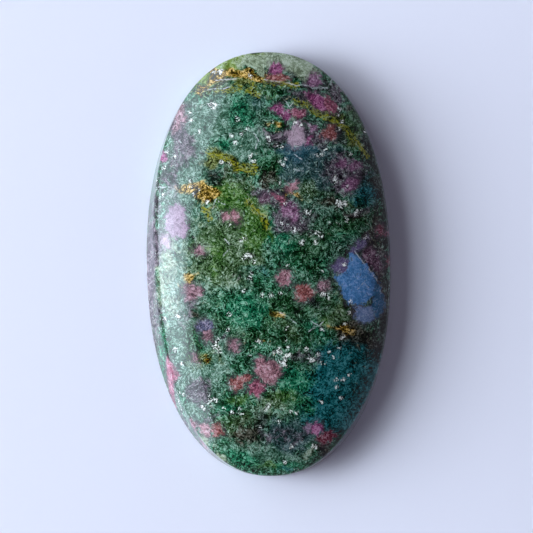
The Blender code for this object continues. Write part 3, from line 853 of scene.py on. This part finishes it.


# Ruby in fuchsite, cut and polished on a wheel. The ground is green chrome mica in grains of
# many sizes. Most are clear and dark, and those tilted towards the light look pale; that sheen is
# painted into the colour, over the grains' own tone. The rubies and the blue crystal are cloudy.
# The polish over them all is even and glossy.
stoneLook = {
    # Tones of each kind of ground, from a grain seen down its length to one tilted to the light:
    # the grains' own tone, with painted sheen of flakes catching the window at the pale end
    "tones": {
        "green": ("#042D0E", "#175735", "#3C7F60", "#66A088"),
        "shade": ("#081C11", "#214434", "#3F6A55", "#71968A"),
        "milky": ("#1E4430", "#466C5C", "#729284", "#A6C2BA"),
        "emerald": ("#033F28", "#0D5F41", "#28785A", "#529E7E"),
        "leaf": ("#193F0F", "#385E20", "#54783C", "#7E9C66"),
        "forest": ("#042408", "#163E1F", "#2C5738", "#5A8468"),
        "olive": ("#161D02", "#424A10", "#606B32", "#8C9664"),
        "lime": ("#567018", "#708B40", "#8A9E64", "#AABA8E"),
        "moss": ("#1F3A13", "#445F3E", "#607A5C", "#94A894"),
        "blueTeal": ("#153B47", "#345868", "#4A6A7C", "#658394"),
        "slate": ("#113230", "#2A4648", "#43595D", "#6B8388"),
        "teal": ("#003434", "#054C52", "#17626C", "#3A7E86"),
        "mauve": ("#2A2630", "#4A404C", "#665A6A", "#847884"),
        "brown": ("#0E0F0B", "#2A281E", "#423D33", "#625F58"),
        "dark": ("#050B09", "#141F1B", "#293531", "#4A5653"),
        "pale": ("#6C7C64", "#94A890", "#ACBCAA", "#C2D2C8"),
        "rust": ("#2C1E02", "#604A04", "#92741A", "#E0C27C"),
    },
    "toneStops": (0.3, 0.54, 0.74, 0.93),
    "deepest": (0.1, 0.16),  # where, under the first stop, a tone ends, and its share of that tone
    # Kinds of ground whose grains differ less, and by how much: at 1 they'd all lie at the middle
    "evenMiddle": 0.55,
    "even": {"pale": 0.45, "lime": 0.4, "leaf": 0.3, "blueTeal": 0.35, "slate": 0.2, "moss": 0.15,
             "milky": 0.3},
    # Near-black for dark gaps between grains, partly painted shade in pits
    "gap": "#020503",
    # A painted highlight: the pale glint of flakes and slivers catching the window
    "glint": "#B4D6C8",
    "vein": "#8E9022",
    "corona": "#4B4450",
    # Pale frost inside crystals, partly painted sheen of their grains turned to the window
    "frostAndSheen": "#C4B2C2",
    # Pale healed fractures, partly painted highlights along the edges of cracks
    "healedAndHighlit": "#C6CFD6",
    "crack": "#070808",
    "wall": "#A79CA6",
    # A painted white highlight: open mica and pit edges catching the window
    "fleck": "#EEF6F4",
    # Real grains are flakes of 0.02 to 1 mm. The finer ones would vanish in the render, so these
    # sizes in mm are drawn.
    "grainSizes": (0.6, 0.28, 0.15),
    "slivers": [(25.0, 0.6, 0.14), (-38.0, 0.75, 0.15), (84.0, 0.5, 0.13)],  # turn, length, width
    "sliverFlatness": 0.6,  # a sliver's width over its height
    # Noises, with the scale in features per mm
    "slowWarp": {"Scale": 0.5, "Detail": 2.0},  # folds 2 mm wide
    "fineWarp": {"Scale": 1.6, "Detail": 3.0},  # and 0.6 mm
    "mottle": {"Scale": 0.8, "Detail": 5.0, "Roughness": 0.65},  # patches of 1.3 mm
    "curl": {"Scale": 2.9, "Detail": 4.0, "Roughness": 0.65},  # curled flakes of 0.35 mm
    "cluster": {"Scale": 0.75, "Detail": 3.0, "Roughness": 0.6},  # books of mica of 1.3 mm
    "mosaic": {"Scale": 2.4, "Detail": 1.6, "Roughness": 0.9},  # flakes of 0.4 mm in a grain
    "strand": {"Detail": 2.0, "Roughness": 0.6, "Distortion": 0.8},
    "strandScales": (1.1, 2.0),
    "strandWidth": 0.06,  # how near the noise's middle value a strand ends
    "warpReach": (1.6, 0.9),  # mm that the slow and the fine noise bend the grains
    "grainShift": (2.5, 1.2),  # mm between the places where neighbouring grains read the mosaic
    # How much each noise tilts a spot to the light, and the tilts of the darkest and lightest tones
    "tiltFrom": {"mosaic": 0.8, "cluster": 0.5, "curl": 0.4, "speck": 0.12, "strands": (0.13, 0.1)},
    "tiltRange": (0.803, 1.125),
    "shadePatch": (0.42, 0.56, 0.7),  # mottle up to which shade is full and shows, its most
    "zoneEdge": (1.0, 1.5, 0.94),  # field where a zone begins and is full, its most
    "zoneBroken": (0.35, 1.1),  # by the grains and by the curl
    # Veins: how far they stray, the spacing and half widths of their strands in mm, how near a
    # line they are full and end, and their shares between and on the strands
    "veinStray": (1.2, -1.8),
    "veinStrand": (0.2, 0.04, 0.14),
    "veinEdge": (-0.85, -0.5),
    "veinShare": (0.85, 0.9),
    # Crystals: how ragged, then how near the outline in mm the corona and the crystal are full
    # and end, and their most
    "crystalRagged": (1.2, 0.25),
    "coronaEdge": (0.75, 1.3, 0.5),
    "crystalEdge": (0.55, 0.92, 0.88),
    "cloudSwing": (1.6, 0.75),  # how much the tilt shades a flawed crystal and a calm one
    "cloudMiddle": 0.93,  # brightness at a middling tilt, and the least there is
    "cloudLeast": 0.2,
    # Frost in a crystal is partly painted sheen: the tilt where it begins and is full, then its most
    # share
    "frostAndSheenTilt": (0.6, 1.0),  # tilt where the frost inside a crystal begins and is full
    "frostAndSheenMost": (0.42, 0.22),  # and its share in a flawed crystal and in a calm one
    # How much less lively some parts are, for the glints
    "calmer": {"teal": 0.6, "calmCrystal": 0.1, "crystal": 0.2, "milky": 0.15, "dark": 0.15,
               "olive": 0.3, "pale": 0.5, "rust": 0.6},
    "tiltGlint": (0.92, 1.2, 0.6),  # tilt where a glint begins and is full, and its most
    "lively": (0.4, 0.8),  # tilt where slivers and specks begin to show and all do
    # Share of the slivers and specks that show nothing, and how strongly the others show
    "sliverGlint": (0.95, 0.5),
    "speckGlint": (0.93, 0.45),
    "speckGapAndPitShade": (0.82, 0.8),
    "chanceRise": 0.06,  # how soon a sliver or speck past that share is at its strongest
    # Cracks and healed fractures with painted highlights on crack edges: half widths in mm, shares,
    # stray, and the part of them that shows
    "lines": {"crack": (0.035, 0.112, 0.85), "healedAndHighlit": (0.025, 0.08, 0.75)},
    "lineStray": 0.35,
    "lineReach": (0.15, 0.3),
    "lineStretches": (0.2, 0.6, 0.1),
    # Flecks: how far past their radius the painted black pit shade and the painted white highlight are
    # full and end, in mm
    "fleckPitShade": (0.16, 0.3),
    "fleckBright": (0.1, 0.24),
    "fleckRagged": 0.5,
    "fleckShare": 0.95,
    "wallMottle": (1.0, -0.3),  # the wall's grey: curl times the first, plus the second
    "ior": 1.56,
    "roughness": 0.09,
}
rgba = {"data_type": "RGBA"}


def stoneFabric(tree, look):
    # Places in mm, bent by two noises, and the noises and grains that are read there
    place = addNode(tree, "ShaderNodeTexCoord").outputs["Object"]
    inMm = addNode(tree, "ShaderNodeVectorMath", {"operation": "SCALE"}, {0: place, "Scale": 1.0 / mm})
    slowWarp = addNode(tree, "ShaderNodeTexNoise", inputs={"Vector": inMm, **look["slowWarp"]})
    fineWarp = addNode(tree, "ShaderNodeTexNoise", inputs={"Vector": inMm, **look["fineWarp"]})
    slowReach, fineReach = look["warpReach"]
    warped = addNode(tree, "ShaderNodeVectorMath", {"operation": "MULTIPLY_ADD"},
                     {0: slowWarp.outputs["Color"], 1: (slowReach,) * 3, 2: inMm})
    bent = addNode(tree, "ShaderNodeVectorMath", {"operation": "MULTIPLY_ADD"},
                   {0: fineWarp.outputs["Color"], 1: (fineReach,) * 3, 2: warped})
    fabric = {"bent": bent, "fineWarp": fineWarp, "cells": [], "grains": [], "slivers": []}
    for name, where in (("mottle", warped), ("curl", warped), ("cluster", inMm)):
        fabric[name] = addNode(tree, "ShaderNodeTexNoise", inputs={"Vector": where, **look[name]})
    for size in look["grainSizes"]:
        cell = addNode(tree, "ShaderNodeTexVoronoi", inputs={"Vector": bent, "Scale": 1.0 / size})
        grain = addNode(tree, "ShaderNodeSeparateColor", inputs={0: cell.outputs["Color"]})
        fabric["cells"].append(cell)
        fabric["grains"].append(grain)
    flatness = look["sliverFlatness"]
    for turn, length, width in look["slivers"]:
        turned = addNode(tree, "ShaderNodeVectorRotate", {"rotation_type": "Z_AXIS"},
                         {"Vector": bent, "Angle": math.radians(turn)})
        squeezed = addNode(tree, "ShaderNodeVectorMath", {"operation": "MULTIPLY"},
                           {0: turned, 1: (1.0 / length, 1.0 / width, flatness / width)})
        cell = addNode(tree, "ShaderNodeTexVoronoi", inputs={"Vector": squeezed, "Scale": 1.0})
        sliver = addNode(tree, "ShaderNodeSeparateColor", inputs={0: cell.outputs["Color"]})
        fabric["slivers"].append(sliver)
    return fabric


def tiltToLight(tree, look, fabric):
    # How far each spot is tilted to the light, mostly 0 to 1: noise, read at another place in
    # every grain, and curved strands, which are the parts of a noise near its middle value
    # The tones, the crystals' shading and the glints painted from this tilt stand for sheen of flakes
    # turned to the window, over tone that varies at random
    amounts = look["tiltFrom"]
    mosaic = fabric["bent"]
    for cell, shift in zip(fabric["cells"], look["grainShift"]):
        mosaic = addNode(tree, "ShaderNodeVectorMath", {"operation": "MULTIPLY_ADD"},
                         {0: cell.outputs["Color"], 1: (shift,) * 3, 2: mosaic})
    within = addNode(tree, "ShaderNodeTexNoise", inputs={"Vector": mosaic, **look["mosaic"]})
    parts = [(within, amounts["mosaic"]), (fabric["cluster"], amounts["cluster"]),
             (fabric["curl"], amounts["curl"]), (fabric["grains"][2].outputs[0], amounts["speck"])]
    for scale, amount in zip(look["strandScales"], amounts["strands"]):
        field = addNode(tree, "ShaderNodeTexNoise",
                        inputs={"Vector": fabric["bent"], "Scale": scale, **look["strand"]})
        off = addNode(tree, "ShaderNodeMath", {"operation": "SUBTRACT"}, {0: field, 1: 0.5})
        off = addNode(tree, "ShaderNodeMath", {"operation": "ABSOLUTE"}, {0: off})
        strand = addNode(tree, "ShaderNodeMapRange",
                         inputs={0: off, 1: 0.0, 2: look["strandWidth"], 3: 1.0, 4: 0.0})
        parts.append((strand, amount))
    tilt = 0.0
    for source, amount in parts:
        tilt = addNode(tree, "ShaderNodeMath", {"operation": "MULTIPLY_ADD"},
                       {0: source, 1: amount, 2: tilt})
    least, most = look["tiltRange"]
    return addNode(tree, "ShaderNodeMapRange", inputs={0: tilt, 1: least, 2: most, 3: 0.0, 4: 1.0})


def groundTones(tree, look, lift):
    # One ramp from dark to light for each kind of ground
    tones = {}
    deepStop, deepShare = look["deepest"]
    middle = look["evenMiddle"]
    for kind, steps in look["tones"].items():
        even = look["even"].get(kind, 0.0)
        own = addNode(tree, "ShaderNodeMapRange",
                      inputs={0: lift, 3: middle * even, 4: 1.0 - (1.0 - middle) * even})
        deepest = [channel * deepShare for channel in hexColour(steps[0])[:3]]
        ramp = [(deepStop, (*deepest, 1.0))]
        ramp += zip(look["toneStops"], map(hexColour, steps))
        tones[kind] = addNode(tree, "ShaderNodeValToRGB", inputs={0: own}, ramp=ramp)
    return tones


def mixGround(tree, look, fabric, tones, fields):
    # Clear and shaded green in patches, then the zones, each broken up by the grains
    full, ends, most = look["shadePatch"]
    patch = addNode(tree, "ShaderNodeMapRange",
                    inputs={0: fabric["mottle"], 1: full, 2: ends, 3: most, 4: 0.0})
    ground = addNode(tree, "ShaderNodeMix", rgba, {0: patch, 6: tones["green"], 7: tones["shade"]})
    byGrains, byCurl = look["zoneBroken"]
    begins, full, most = look["zoneEdge"]
    for zone, field in fields.items():
        broken = addNode(tree, "ShaderNodeMath", {"operation": "MULTIPLY_ADD"},
                         {0: fabric["grains"][0].outputs[1], 1: byGrains, 2: field})
        broken = addNode(tree, "ShaderNodeMath", {"operation": "MULTIPLY_ADD"},
                         {0: fabric["curl"], 1: byCurl, 2: broken})
        share = addNode(tree, "ShaderNodeMapRange",
                        inputs={0: broken, 1: begins, 2: full, 3: 0.0, 4: most})
        ground = addNode(tree, "ShaderNodeMix", rgba,
                         {0: share, 6: ground.outputs[2], 7: tones[zone]})
    return ground.outputs[2]


def mixVeins(tree, look, fabric, tones, colour, ground):
    # Yellow-green veins: olive ground with thin strands that run side by side
    near = addNode(tree, "ShaderNodeAttribute", {"attribute_name": "veinNear"})
    side = addNode(tree, "ShaderNodeAttribute", {"attribute_name": "veinSide"})
    strandStray, edgeStray = look["veinStray"]
    spacing, core, rim = look["veinStrand"]
    full, ends = look["veinEdge"]
    between, most = look["veinShare"]
    wobble = addNode(tree, "ShaderNodeMath", {"operation": "MULTIPLY_ADD"},
                     {0: fabric["fineWarp"], 1: strandStray, 2: side.outputs["Fac"]})
    strand = addNode(tree, "ShaderNodeMath", {"operation": "PINGPONG"}, {0: wobble, 1: spacing})
    strandShare = addNode(tree, "ShaderNodeMapRange",
                          inputs={0: strand, 1: core, 2: rim, 3: most, 4: 0.0})
    reach = addNode(tree, "ShaderNodeMath", {"operation": "MULTIPLY_ADD"},
                    {0: fabric["curl"], 1: edgeStray, 2: near.outputs["Fac"]})
    veinShare = addNode(tree, "ShaderNodeMapRange",
                        inputs={0: reach, 1: full, 2: ends, 3: 1.0, 4: 0.0})
    for factor, tone in ((between, tones["olive"]), (strandShare, colour["vein"])):
        share = addNode(tree, "ShaderNodeMath", {"operation": "MULTIPLY"}, {0: veinShare, 1: factor})
        ground = addNode(tree, "ShaderNodeMix", rgba, {0: share, 6: ground, 7: tone}).outputs[2]
    return ground


def mixCrystals(tree, look, fabric, lift, colour, ground):
    # A grey-mauve corona round each crystal, ragged soft edges, and angular cloudy insides. Their shading
    # by the tilt to the light, and the pale frost where it is high, are partly painted sheen.
    edge = addNode(tree, "ShaderNodeAttribute", {"attribute_name": "crystalEdge"})
    byCurl, byGrains = look["crystalRagged"]
    ragged = addNode(tree, "ShaderNodeMath", {"operation": "MULTIPLY_ADD"},
                     {0: fabric["curl"], 1: byCurl, 2: edge.outputs["Fac"]})
    ragged = addNode(tree, "ShaderNodeMath", {"operation": "MULTIPLY_ADD"},
                     {0: fabric["grains"][1].outputs[1], 1: byGrains, 2: ragged})
    full, ends, most = look["coronaEdge"]
    share = addNode(tree, "ShaderNodeMapRange", inputs={0: ragged, 1: full, 2: ends, 3: most, 4: 0.0})
    ground = addNode(tree, "ShaderNodeMix", rgba, {0: share, 6: ground, 7: colour["corona"]}).outputs[2]
    full, ends, most = look["crystalEdge"]
    crystalShare = addNode(tree, "ShaderNodeMapRange", {"interpolation_type": "SMOOTHSTEP"},
                           {0: ragged, 1: full, 2: ends, 3: most, 4: 0.0})

    tone = addNode(tree, "ShaderNodeAttribute", {"attribute_name": "crystalTone"})
    calm = addNode(tree, "ShaderNodeAttribute", {"attribute_name": "calmCrystal"}).outputs["Fac"]
    flawedSwing, calmSwing = look["cloudSwing"]
    swing = addNode(tree, "ShaderNodeMapRange", inputs={0: calm, 3: flawedSwing, 4: calmSwing})
    cloudAndSheen = addNode(tree, "ShaderNodeMath", {"operation": "SUBTRACT"}, {0: lift, 1: 0.5})
    cloudAndSheen = addNode(tree, "ShaderNodeMath", {"operation": "MULTIPLY_ADD"},
                    {0: cloudAndSheen, 1: swing, 2: look["cloudMiddle"]})
    cloudAndSheen = addNode(tree, "ShaderNodeMath", {"operation": "MAXIMUM"}, {0: cloudAndSheen, 1: look["cloudLeast"]})
    shaded = addNode(tree, "ShaderNodeVectorMath", {"operation": "SCALE"},
                     {0: tone.outputs["Color"], "Scale": cloudAndSheen})
    flawedFrostAndSheen, calmFrostAndSheen = look["frostAndSheenMost"]
    frostAndSheen = addNode(tree, "ShaderNodeMapRange", inputs={0: calm, 3: flawedFrostAndSheen, 4: calmFrostAndSheen})
    begins, full = look["frostAndSheenTilt"]
    share = addNode(tree, "ShaderNodeMapRange",
                    inputs={0: lift, 1: begins, 2: full, 3: 0.0, 4: frostAndSheen})
    shaded = addNode(tree, "ShaderNodeMix", rgba, {0: share, 6: shaded, 7: colour["frostAndSheen"]}).outputs[2]
    surface = addNode(tree, "ShaderNodeMix", rgba, {0: crystalShare, 6: ground, 7: shaded}).outputs[2]
    return surface, crystalShare, calm


def mixGlints(tree, look, fabric, lift, calmFields, colour, surface):
    # Painted highlights: pale glints of the most tilted spots and of slivers seen edge on. Then dark
    # gaps, partly painted shade in pits. The crystals and the deep parts of the ground have fewer.
    calm = lift
    for name, amount in look["calmer"].items():
        calm = addNode(tree, "ShaderNodeMath", {"operation": "MULTIPLY_ADD"},
                       {0: calmFields[name], 1: -amount, 2: calm})
    begins, full, most = look["tiltGlint"]
    share = addNode(tree, "ShaderNodeMapRange", inputs={0: calm, 1: begins, 2: full, 3: 0.0, 4: most})
    surface = addNode(tree, "ShaderNodeMix", rgba, {0: share, 6: surface, 7: colour["glint"]}).outputs[2]
    begins, full = look["lively"]
    lively = addNode(tree, "ShaderNodeMapRange", inputs={0: calm, 1: begins, 2: full, 3: 0.0, 4: 1.0})
    specks = fabric["grains"][2]
    steps = [(sliver.outputs[0], *look["sliverGlint"], "glint") for sliver in fabric["slivers"]]
    steps.append((specks.outputs[1], *look["speckGapAndPitShade"], "gap"))
    steps.append((specks.outputs[2], *look["speckGlint"], "glint"))
    for chance, least, strength, toneName in steps:
        full = min(1.0, least + look["chanceRise"])
        share = addNode(tree, "ShaderNodeMapRange",
                        inputs={0: chance, 1: least, 2: full, 3: 0.0, 4: strength})
        share = addNode(tree, "ShaderNodeMath", {"operation": "MULTIPLY"}, {0: share, 1: lively})
        surface = addNode(tree, "ShaderNodeMix", rgba,
                          {0: share, 6: surface, 7: colour[toneName]}).outputs[2]
    return surface


def mixLines(tree, look, fabric, colour, surface):
    # Cracks, dark, and healed fractures, light and partly painted highlights along crack edges: each
    # shows only in stretches
    stray = look["lineStray"]
    reachFull, reachEnds = look["lineReach"]
    begins, full, least = look["lineStretches"]
    for name, (core, rim, most) in look["lines"].items():
        near = addNode(tree, "ShaderNodeAttribute", {"attribute_name": name + "Near"})
        side = addNode(tree, "ShaderNodeAttribute", {"attribute_name": name + "Side"})
        wobble = addNode(tree, "ShaderNodeMath", {"operation": "MULTIPLY_ADD"},
                         {0: fabric["curl"], 1: stray, 2: side.outputs["Fac"]})
        wobble = addNode(tree, "ShaderNodeMath", {"operation": "SUBTRACT"}, {0: wobble, 1: stray / 2.0})
        wobble = addNode(tree, "ShaderNodeMath", {"operation": "ABSOLUTE"}, {0: wobble})
        share = addNode(tree, "ShaderNodeMapRange", inputs={0: wobble, 1: core, 2: rim, 3: most, 4: 0.0})
        only = addNode(tree, "ShaderNodeMapRange",
                       inputs={0: near.outputs["Fac"], 1: reachFull, 2: reachEnds, 3: 1.0, 4: 0.0})
        share = addNode(tree, "ShaderNodeMath", {"operation": "MULTIPLY"}, {0: share, 1: only})
        stretches = addNode(tree, "ShaderNodeMapRange",
                            inputs={0: fabric["grains"][1].outputs[2],
                                    1: begins, 2: full, 3: least, 4: 1.0})
        share = addNode(tree, "ShaderNodeMath", {"operation": "MULTIPLY"}, {0: share, 1: stretches})
        surface = addNode(tree, "ShaderNodeMix", rgba,
                          {0: share, 6: surface, 7: colour[name]}).outputs[2]
    return surface


def mixFlecks(tree, look, fabric, colour, surface):
    # Bright flecks: painted highlights of open mica and pit edges catching the window, with painted black
    # pit shade between
    field = addNode(tree, "ShaderNodeAttribute", {"attribute_name": "fleck"})
    specks = fabric["grains"][2]
    steps = ((specks.outputs[1], *look["fleckPitShade"], "gap"),
             (specks.outputs[2], *look["fleckBright"], "fleck"))
    for speck, full, ends, toneName in steps:
        chance = addNode(tree, "ShaderNodeMath", {"operation": "MULTIPLY_ADD"},
                         {0: speck, 1: look["fleckRagged"], 2: field.outputs["Fac"]})
        share = addNode(tree, "ShaderNodeMapRange",
                        inputs={0: chance, 1: full, 2: ends, 3: look["fleckShare"], 4: 0.0})
        surface = addNode(tree, "ShaderNodeMix", rgba,
                          {0: share, 6: surface, 7: colour[toneName]}).outputs[2]
    return surface


def mixWall(tree, look, fabric, colour, surface):
    # The side wall is mixed towards a pale grey-mauve below the rim, much more on the right than on the
    # left
    wall = addNode(tree, "ShaderNodeAttribute", {"attribute_name": "wall"})
    steepness, offset = look["wallMottle"]
    share = addNode(tree, "ShaderNodeMath", {"operation": "MULTIPLY_ADD"},
                    {0: fabric["curl"], 1: steepness, 2: offset})
    share = addNode(tree, "ShaderNodeMath", {"operation": "MULTIPLY"}, {0: share, 1: wall.outputs["Fac"]})
    return addNode(tree, "ShaderNodeMix", rgba, {0: share, 6: surface, 7: colour["wall"]}).outputs[2]


def stoneMaterial():
    look = stoneLook
    material = bpy.data.materials.new("polished ruby in fuchsite")
    material.use_nodes = True
    tree = material.node_tree
    shader = tree.nodes["Principled BSDF"]
    colour = {name: hexColour(value) for name, value in look.items() if str(value).startswith("#")}

    fabric = stoneFabric(tree, look)
    lift = tiltToLight(tree, look, fabric)
    tones = groundTones(tree, look, lift)
    fields = {}
    for zone in groundZones:
        fields[zone] = addNode(tree, "ShaderNodeAttribute", {"attribute_name": zone}).outputs["Fac"]
    ground = mixGround(tree, look, fabric, tones, fields)
    ground = mixVeins(tree, look, fabric, tones, colour, ground)
    surface, crystalShare, calm = mixCrystals(tree, look, fabric, lift, colour, ground)
    calmFields = {**fields, "crystal": crystalShare, "calmCrystal": calm}
    surface = mixGlints(tree, look, fabric, lift, calmFields, colour, surface)
    surface = mixLines(tree, look, fabric, colour, surface)
    surface = mixFlecks(tree, look, fabric, colour, surface)
    surface = mixWall(tree, look, fabric, colour, surface)

    tree.links.new(surface, shader.inputs["Base Color"])
    shader.inputs["IOR"].default_value = look["ior"]
    shader.inputs["Roughness"].default_value = look["roughness"]
    return material


def buildStone():
    mesh = buildStoneMesh()
    print("stone mesh", len(mesh.vertices), "points")
    crystalEdge = markStone(mesh)
    wearStone(mesh, crystalEdge)
    piece = bpy.data.objects.new("cabochon_stone", mesh)
    bpy.context.collection.objects.link(piece)
    mesh.materials.append(stoneMaterial())
    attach(piece, "root")
    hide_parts("cabochon")
    print("stone ready")
    return piece


# Camera straight overhead. The frame's size and place are at the height of the stone's edge.
camera = {
    "height": 0.300,  # m above the stone's edge
    "edgeHeight": 1.0,  # mm
    "frameWidth": 56.52,  # mm across the picture
    "aim": (-0.23, -0.23),  # mm from the stone's middle
    "roll": -0.019,  # radians
    "sensor": 36.0,  # mm wide
    "clips": (0.01, 20.0),  # m: nothing nearer or farther is drawn
}


def buildCamera():
    data = bpy.data.cameras.new("camera")
    data.sensor_width = camera["sensor"]
    data.lens = camera["sensor"] * camera["height"] / (camera["frameWidth"] * mm)
    data.clip_start, data.clip_end = camera["clips"]
    made = bpy.data.objects.new("camera", data)
    bpy.context.collection.objects.link(made)
    aimX, aimY = camera["aim"]
    made.location = (aimX * mm, aimY * mm, camera["height"] + camera["edgeHeight"] * mm)
    made.rotation_euler = (0.0, 0.0, camera["roll"])
    bpy.context.scene.camera = made


# A window's soft light from the left and a faint one back from the right, in a dim room that is
# darkest overhead. A pane is (low, high, lower end, upper end, radiance), in metres, all in one
# plane. What the polish shows of the window is built apart, since its slanted top and its bright
# lower part have to be right there: outlines on nearly the same plane, as (along it, height),
# each with the radiance that it and those behind it have in all.
window = {
    "bearing": 172.0,  # degrees from +X
    "distance": 0.6,
    "panes": [
        (0.05, 0.92, -0.46, 0.72, 2.6),
        (0.05, 0.74, -0.46, 0.72, 1.7),
        (0.05, 0.46, -0.30, 0.12, 7.2),
        (0.05, 0.44, -0.18, 0.06, 9.8),
    ],
    "colour": (0.915, 0.95, 1.0),
    "seen": [
        ([(-0.75, 0.08), (0.9, 0.08), (0.9, 1.34), (0.55, 1.29), (0.3, 1.2), (0.13, 1.08),
          (0.0, 0.87), (-0.08, 0.79), (-0.13, 0.75), (-0.21, 0.76), (-0.36, 0.84), (-0.75, 0.87)], 2.8),
        ([(-0.75, 0.08), (0.9, 0.08), (0.9, 0.62), (-0.75, 0.62)], 3.9),
        ([(-0.3, 0.08), (0.04, 0.08), (0.04, 0.66), (-0.13, 0.68), (-0.3, 0.6)], 5.5),
        ([(-0.2, 0.1), (-0.01, 0.1), (-0.01, 0.5), (-0.2, 0.5)], 8.6),
    ],
    "seenColour": (0.74, 0.86, 1.0),
    "seenStep": 0.002,  # m between one outline's plane and the next
    "fillColour": (1.0, 0.86, 0.92),
    "fill": (0.7, 0.05, 0.5, 1.2, 0.5),  # distance on the right, low, high, length, radiance
    "roomLeft": (0.42, 0.39, 0.48),
    "roomRight": (0.26, 0.24, 0.3),
    "roomEdge": (-0.6, 0.6),  # where the left's colour ends and the right's is full, as cosines
    "overhead": (0.012, 0.012, 0.014),
    "overheadEdge": (0.3, 0.75),  # where it begins and is full, as sines of the height
}


def onWindow(turn, distance, along, height):
    # A point of an upright plane that faces the stone from this bearing
    x = distance * math.cos(turn) + along * math.sin(turn)
    y = distance * math.sin(turn) - along * math.cos(turn)
    return x, y, height


def addPane(colour, turn, distance, low, high, lowerEnd, upperEnd, radiance):
    # Soft light on matt surfaces alone
    data = bpy.data.lights.new("window pane", "AREA")
    data.shape = "RECTANGLE"
    data.size = high - low
    data.size_y = upperEnd - lowerEnd
    data.energy = radiance * math.pi * data.size * data.size_y
    data.color = colour
    made = bpy.data.objects.new("window pane", data)
    bpy.context.collection.objects.link(made)
    made.location = onWindow(turn, distance, (lowerEnd + upperEnd) / 2.0, (low + high) / 2.0)
    made.rotation_euler = (0.0, -math.pi / 2.0, turn - math.pi)
    made.visible_camera = False
    made.visible_glossy = False


def addReflected(turn, distance, outline, radiance):
    mesh = bpy.data.meshes.new("window in the polish")
    corners = [onWindow(turn, distance, along, height) for along, height in outline]
    mesh.from_pydata(corners, [], [tuple(range(len(corners)))])
    material = bpy.data.materials.new("window in the polish")
    material.use_nodes = True
    tree = material.node_tree
    glow = addNode(tree, "ShaderNodeEmission",
                   inputs={"Color": (*window["seenColour"], 1.0), "Strength": radiance})
    tree.links.new(glow.outputs[0], tree.nodes["Material Output"].inputs["Surface"])
    mesh.materials.append(material)
    made = bpy.data.objects.new("window in the polish", mesh)
    bpy.context.collection.objects.link(made)
    made.visible_camera = False
    made.visible_diffuse = False
    made.visible_shadow = False


def buildLights():
    turn = math.radians(window["bearing"])
    for pane in window["panes"]:
        addPane(window["colour"], turn, window["distance"], *pane)
    for number, (outline, radiance) in enumerate(window["seen"]):
        addReflected(turn, window["distance"] - number * window["seenStep"], outline, radiance)
    distance, low, high, length, radiance = window["fill"]
    addPane(window["fillColour"], 0.0, distance, low, high, -length / 2.0, length / 2.0, radiance)

    world = bpy.data.worlds.new("dim room")
    world.use_nodes = True
    tree = world.node_tree
    bearing = addNode(tree, "ShaderNodeTexCoord").outputs["Generated"]
    parts = addNode(tree, "ShaderNodeSeparateXYZ", inputs={0: bearing})
    begins, full = window["roomEdge"]
    toRight = addNode(tree, "ShaderNodeMapRange",
                      inputs={0: parts.outputs[0], 1: begins, 2: full})
    sides = addNode(tree, "ShaderNodeMix", rgba,
                    {0: toRight, 6: (*window["roomLeft"], 1.0), 7: (*window["roomRight"], 1.0)})
    begins, full = window["overheadEdge"]
    upward = addNode(tree, "ShaderNodeMapRange", {"interpolation_type": "SMOOTHSTEP"},
                     {0: parts.outputs[2], 1: begins, 2: full})
    room = addNode(tree, "ShaderNodeMix", rgba,
                   {0: upward, 6: sides.outputs[2], 7: (*window["overhead"], 1.0)})
    tree.links.new(room.outputs[2], tree.nodes["Background"].inputs["Color"])
    bpy.context.scene.world = world
    bpy.context.scene.view_settings.view_transform = "Standard"


# A sheet of smooth pale board
table = {
    "halfSize": 1.5,
    "colour": "#E2E8FA",
    "roughness": 0.7,
    "below": 0.02,  # mm under the stone's back, so that the two faces don't share a plane
}


def buildTable():
    half = table["halfSize"]
    mesh = bpy.data.meshes.new("table")
    level = -table["below"] * mm
    corners = [(-half, -half, level), (half, -half, level), (half, half, level), (-half, half, level)]
    mesh.from_pydata(corners, [], [(0, 1, 2, 3)])
    made = bpy.data.objects.new("table", mesh)
    bpy.context.collection.objects.link(made)
    material = bpy.data.materials.new("matt pale board")
    material.use_nodes = True
    shader = material.node_tree.nodes["Principled BSDF"]
    shader.inputs["Base Color"].default_value = hexColour(table["colour"])
    shader.inputs["Roughness"].default_value = table["roughness"]
    mesh.materials.append(material)


buildCamera()
buildLights()
buildTable()
print("camera, light and table ready")
buildStone()

print("scene ready")
